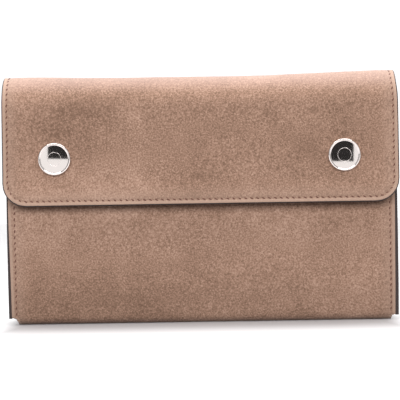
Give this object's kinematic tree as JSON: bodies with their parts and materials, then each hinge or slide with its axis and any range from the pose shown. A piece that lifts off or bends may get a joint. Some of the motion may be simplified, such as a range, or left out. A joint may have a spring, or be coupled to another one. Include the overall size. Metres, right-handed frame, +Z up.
{
  "type": "flap wallet",
  "caption": "Suede clutch wallet with a roll-over flap on round metal snaps, pleated side gussets, a zip pocket and card slots.",
  "frame": {"origin": "centre of the base, on the surface the wallet stands on", "axes": "+X across the width to the viewer's right, -Y out of the front, +Z up"},
  "size_m": [0.2, 0.0331, 0.125],
  "materials": {
    "suede": "taupe nubuck suede with a short nap",
    "gusset_suede": "thin suede, a little darker",
    "lining": "plain woven lining",
    "interlining": "non-woven interlining",
    "board": "stiff fibre board",
    "tape": "woven zip tape",
    "thread": "waxed brown thread",
    "zip_metal": "polished nickel",
    "snap_metal": "polished nickel"
  },
  "bodies": {
    "case": {"front_panel": "suede", "base_fold": "suede", "back_panel": "suede", "front_interlining": "interlining", "front_lining": "lining", "back_lining": "lining", "base_board": "board", "base_lining": "lining", "gusset_left": "gusset_suede", "gusset_right": "gusset_suede", "zip_wall_front": "lining", "zip_wall_back": "lining", "zip_tape_front": "tape", "zip_tape_back": "tape", "zip_teeth_front": "zip_metal", "zip_teeth_back": "zip_metal", "zip_stops": "zip_metal", "card_tier_low": "suede", "card_tier_mid": "suede", "card_tier_high": "suede", "card_thread": "thread", "snap_studs": "snap_metal", "snap_washers": "snap_metal", "body_thread": "thread"},
    "roll_1": {"roll_back": "suede", "roll_back_lining": "lining"},
    "roll_2": {"roll_top": "suede", "roll_top_lining": "lining"},
    "roll_3": {"roll_front": "suede", "roll_front_lining": "lining"},
    "flap": {"flap_leather": "suede", "flap_lining": "lining", "flap_thread": "thread", "snap_caps": "snap_metal", "snap_sockets": "snap_metal"},
    "slider": {"zip_slider": "zip_metal"},
    "pull": {"zip_pull": "zip_metal"}
  },
  "joints": [
    {"name": "roll_bend_1", "type": "hinge", "parent": "case", "child": "roll_1", "pos_m": [0, 0.01508, 0.11556], "axis": [-1, 0, 0], "range_deg": [0, 45]},
    {"name": "roll_bend_2", "type": "hinge", "parent": "roll_1", "child": "roll_2", "pos_m": [0, 0.00681, 0.12384], "axis": [-1, 0, 0], "range_deg": [0, 45]},
    {"name": "roll_bend_3", "type": "hinge", "parent": "roll_2", "child": "roll_3", "pos_m": [0, -0.0049, 0.12384], "axis": [-1, 0, 0], "range_deg": [0, 45]},
    {"name": "flap_open", "type": "hinge", "parent": "roll_3", "child": "flap", "pos_m": [0, -0.01319, 0.11556], "axis": [-1, 0, 0], "range_deg": [0, 45]},
    {"name": "zip_slide", "type": "slide", "parent": "case", "child": "slider", "axis": [-1, 0, 0], "range_m": [0, 0.15]},
    {"name": "pull_swing", "type": "hinge", "parent": "slider", "child": "pull", "pos_m": [0.075, 0.0024, 0.10035], "axis": [0, 1, 0], "range_deg": [0, 110]}
  ],
  "couplings": [
    {"joint": "roll_bend_1", "follows": "flap_open", "ratio": 1},
    {"joint": "roll_bend_2", "follows": "flap_open", "ratio": 1},
    {"joint": "roll_bend_3", "follows": "flap_open", "ratio": 1}
  ]
}
